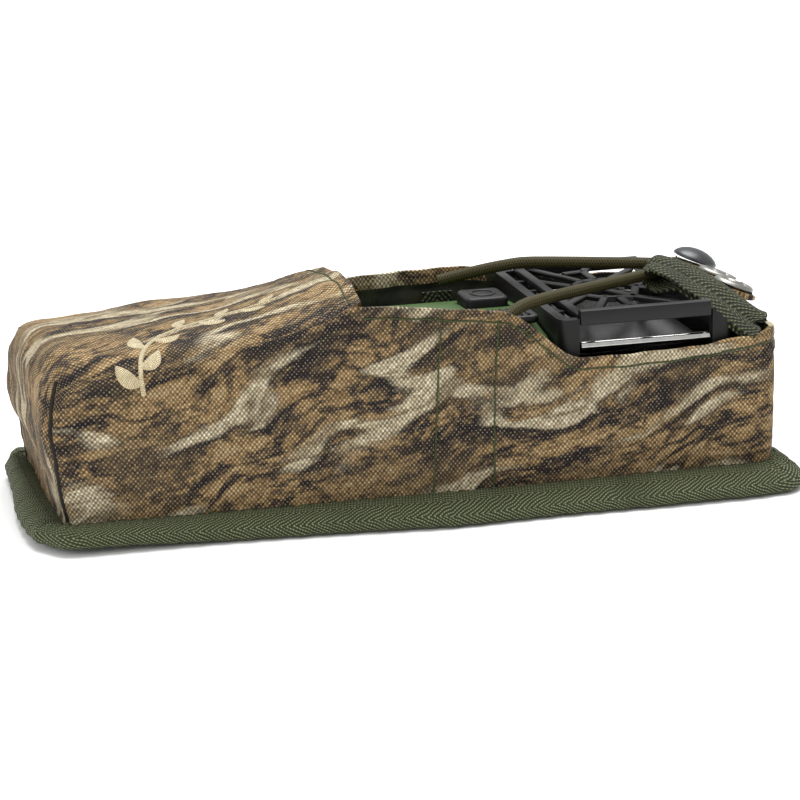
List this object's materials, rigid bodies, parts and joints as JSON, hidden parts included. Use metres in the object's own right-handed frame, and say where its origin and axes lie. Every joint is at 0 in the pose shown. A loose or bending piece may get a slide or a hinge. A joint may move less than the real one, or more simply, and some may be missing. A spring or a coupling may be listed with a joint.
{
  "type": "holstered insect repeller",
  "caption": "Camouflage cloth belt holster lying on its padded back, with a hand-held gas-heated insect repeller held in it by an elastic loop.",
  "frame": {"origin": "centre of the footprint, on the surface that the holster's back rests on", "axes": "+X along the holster from its closed foot to its head end, +Z out of its padded back, -Y the side nearer the picture"},
  "size_m": [0.2276, 0.0934, 0.0631],
  "materials": {
    "camo_cloth": "coarse plain weave printed with a bark-like camouflage",
    "olive_lining": "dark olive coated nylon",
    "olive_webbing": "herringbone webbing",
    "olive_cord": "braided elastic cord",
    "green_shell": "fine moulded texture",
    "black_plastic": "satin moulded plastic",
    "polished_steel": "polished",
    "gunmetal": "dark satin",
    "nickel": "nickel plate",
    "brass": "machined",
    "cartridge_aluminium": "drawn and painted",
    "black_rubber": "moulded"
  },
  "bodies": {
    "holster": {"padded_back": "camo_cloth", "edge_binding": "olive_webbing", "belt_loop": "olive_webbing", "near_wall": "camo_cloth", "far_wall": "camo_cloth", "near_lining": "olive_lining", "far_lining": "olive_lining", "foot_wall": "camo_cloth", "head_wall": "camo_cloth", "front_panel": "camo_cloth", "bungee_anchor_near": "olive_webbing", "bungee_anchor_far": "olive_webbing", "front_shell": "green_shell", "rear_shell": "green_shell", "shell_screw_1": "nickel", "shell_screw_2": "nickel", "shell_screw_3": "nickel", "shell_screw_4": "nickel", "head_frame": "black_plastic", "grille_cover": "black_plastic", "heat_shield": "polished_steel", "heater_block": "cartridge_aluminium", "burner": "brass", "cartridge_seal": "black_rubber", "gas_valve": "brass", "gas_tube": "brass", "igniter_piezo": "black_plastic", "button_spring": "nickel"},
    "retention_loop": {"bungee_cord": "olive_cord", "pull_tab": "olive_webbing"},
    "closure_strap": {"closure_strap": "camo_cloth", "snap_cap": "gunmetal", "snap_socket_1": "nickel", "snap_socket_2": "nickel"},
    "switch_slider": {"switch_slider": "black_plastic"},
    "igniter_button": {"igniter_button": "black_plastic"},
    "butane_cartridge": {"butane_cartridge": "cartridge_aluminium"}
  },
  "joints": [
    {"name": "loop_swing", "type": "hinge", "parent": "holster", "child": "retention_loop", "pos_m": [0.022, 0, 0.0497], "axis": [0, -1, 0], "range_deg": [0, 150]},
    {"name": "strap_swing", "type": "hinge", "parent": "holster", "child": "closure_strap", "pos_m": [0.1009, 0.033, 0.0465], "axis": [-1, 0, 0], "range_deg": [0, 110]},
    {"name": "switch_slide", "type": "slide", "parent": "holster", "child": "switch_slider", "axis": [0, 1, 0], "range_m": [0, 0.007]},
    {"name": "button_press", "type": "slide", "parent": "holster", "child": "igniter_button", "axis": [0, 0, -1], "range_m": [0, 0.0025], "stiffness_N_per_m": 600, "deforming": ["button_spring"]},
    {"name": "cartridge_turn", "type": "hinge", "parent": "holster", "child": "butane_cartridge", "pos_m": [-0.09, 0, 0.0263], "axis": [-1, 0, 0], "range_deg": [0, 720]}
  ]
}
